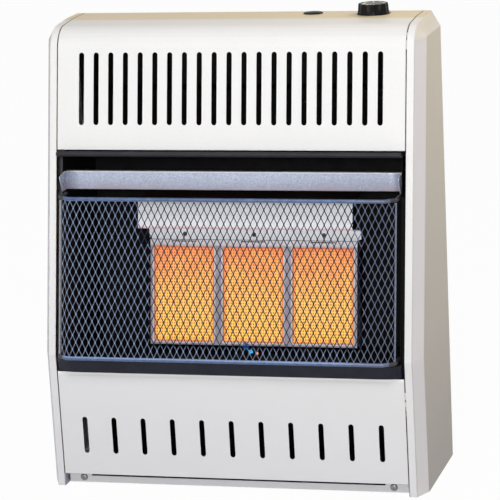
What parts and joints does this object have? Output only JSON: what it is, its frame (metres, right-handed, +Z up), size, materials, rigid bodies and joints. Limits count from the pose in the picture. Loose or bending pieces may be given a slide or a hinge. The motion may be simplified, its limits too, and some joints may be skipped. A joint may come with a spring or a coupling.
{
  "type": "ventless gas heater",
  "caption": "Wall-hung ventless gas space heater: ivory slotted steel cabinet, glowing ceramic plaque burner behind an expanded-metal guard, with a control knob and an igniter button on top.",
  "frame": {"origin": "bottom centre of the whole heater's box", "axes": "+Z up, the front with the guard faces -Y, the flat rear that hangs on the wall faces +Y, +X to the right as seen from the front"},
  "size_m": [0.504, 0.2267, 0.614],
  "materials": {
    "apron": "satin blue-black enamel",
    "back_panel": "aluminised sheet steel, satin",
    "back_top_panel": "aluminised sheet steel, satin",
    "base_pan": "fine speckled ivory powder coat, satin",
    "base_screw_left": "bright plated steel",
    "base_screw_right": "bright plated steel",
    "burner_box": "aluminised sheet steel, satin",
    "burner_bracket_left": "aluminised sheet steel, satin",
    "burner_bracket_right": "aluminised sheet steel, satin",
    "burner_clamp_strip": "aluminised sheet steel, satin",
    "burner_frame": "aluminised sheet steel, satin",
    "burner_manifold": "bright plated steel",
    "clamp_screw_left": "die cast, matt",
    "clamp_screw_middle": "die cast, matt",
    "clamp_screw_right": "die cast, matt",
    "control_knob": "moulded, satin",
    "deflector_hood": "galvanised sheet, slightly mottled",
    "firebox_floor": "matt heat-proof black enamel",
    "firebox_liner_left": "matt heat-proof black enamel",
    "firebox_liner_right": "matt heat-proof black enamel",
    "firebox_rear": "matt heat-proof black enamel",
    "firebox_roof": "matt heat-proof black enamel",
    "gas_inlet_fitting": "machined, satin",
    "gas_valve": "die cast, matt",
    "guard_end_wire_left": "zinc-plated steel strands",
    "guard_end_wire_right": "zinc-plated steel strands",
    "guard_mesh": "zinc-plated steel strands",
    "guard_rod_bottom": "zinc-plated steel strands",
    "guard_rod_top": "zinc-plated steel strands",
    "hanger_plate_left": "aluminised sheet steel, satin",
    "hanger_plate_right": "aluminised sheet steel, satin",
    "igniter_button": "moulded, satin",
    "ignition_lead": "black silicone sleeve on the spark lead",
    "injector": "machined, satin",
    "lower_front_panel": "fine speckled ivory powder coat, satin",
    "piezo_igniter": "moulded, satin",
    "pilot_burner": "bright plated steel",
    "pilot_tube": "aluminised sheet steel, satin",
    "plaque_left": "porous plaque that glows orange and yellow while lit",
    "plaque_middle": "porous plaque that glows orange and yellow while lit",
    "plaque_right": "porous plaque that glows orange and yellow while lit",
    "pressure_regulator": "die cast, matt",
    "regulator_stand": "aluminised sheet steel, satin",
    "side_panel_left": "fine speckled ivory powder coat, satin",
    "side_panel_right": "fine speckled ivory powder coat, satin",
    "spark_electrode": "white insulator",
    "stem_washer": "bright plated steel",
    "supply_pipe": "bright plated steel",
    "thermocouple": "bright plated steel",
    "thermocouple_lead": "machined, satin",
    "upper_front_cover": "fine speckled ivory powder coat, satin",
    "upper_reflector": "bright plated steel",
    "valve_bracket": "aluminised sheet steel, satin",
    "valve_stem": "machined, satin",
    "venturi_tube": "aluminised sheet steel, satin"
  },
  "bodies": {
    "cabinet": {"apron": "apron", "back_panel": "back_panel", "back_top_panel": "back_top_panel", "base_pan": "base_pan", "base_screw_left": "base_screw_left", "base_screw_right": "base_screw_right", "burner_box": "burner_box", "burner_bracket_left": "burner_bracket_left", "burner_bracket_right": "burner_bracket_right", "burner_clamp_strip": "burner_clamp_strip", "burner_frame": "burner_frame", "burner_manifold": "burner_manifold", "clamp_screw_left": "clamp_screw_left", "clamp_screw_middle": "clamp_screw_middle", "clamp_screw_right": "clamp_screw_right", "deflector_hood": "deflector_hood", "firebox_floor": "firebox_floor", "firebox_liner_left": "firebox_liner_left", "firebox_liner_right": "firebox_liner_right", "firebox_rear": "firebox_rear", "firebox_roof": "firebox_roof", "gas_inlet_fitting": "gas_inlet_fitting", "gas_valve": "gas_valve", "guard_end_wire_left": "guard_end_wire_left", "guard_end_wire_right": "guard_end_wire_right", "guard_mesh": "guard_mesh", "guard_rod_bottom": "guard_rod_bottom", "guard_rod_top": "guard_rod_top", "hanger_plate_left": "hanger_plate_left", "hanger_plate_right": "hanger_plate_right", "ignition_lead": "ignition_lead", "injector": "injector", "lower_front_panel": "lower_front_panel", "piezo_igniter": "piezo_igniter", "pilot_burner": "pilot_burner", "pilot_tube": "pilot_tube", "plaque_left": "plaque_left", "plaque_middle": "plaque_middle", "plaque_right": "plaque_right", "pressure_regulator": "pressure_regulator", "regulator_stand": "regulator_stand", "side_panel_left": "side_panel_left", "side_panel_right": "side_panel_right", "spark_electrode": "spark_electrode", "supply_pipe": "supply_pipe", "thermocouple": "thermocouple", "thermocouple_lead": "thermocouple_lead", "upper_front_cover": "upper_front_cover", "upper_reflector": "upper_reflector", "valve_bracket": "valve_bracket", "venturi_tube": "venturi_tube"},
    "stem_washer": {"stem_washer": "stem_washer"},
    "knob": {"control_knob": "control_knob", "valve_stem": "valve_stem"},
    "igniter_button": {"igniter_button": "igniter_button"}
  },
  "joints": [
    {"name": "knob_push", "type": "slide", "parent": "cabinet", "child": "stem_washer", "axis": [0, 0, -1], "range_m": [0, 0.003], "stiffness_N_per_m": 700, "springref_m": -0.002},
    {"name": "knob_turn", "type": "hinge", "parent": "stem_washer", "child": "knob", "pos_m": [0.1694, 0.08655, 0.6], "axis": [0, 0, 1], "range_deg": [-210, 0]},
    {"name": "igniter_push", "type": "slide", "parent": "cabinet", "child": "igniter_button", "axis": [0, 0, -1], "range_m": [0, 0.002], "stiffness_N_per_m": 400, "springref_m": -0.002}
  ]
}
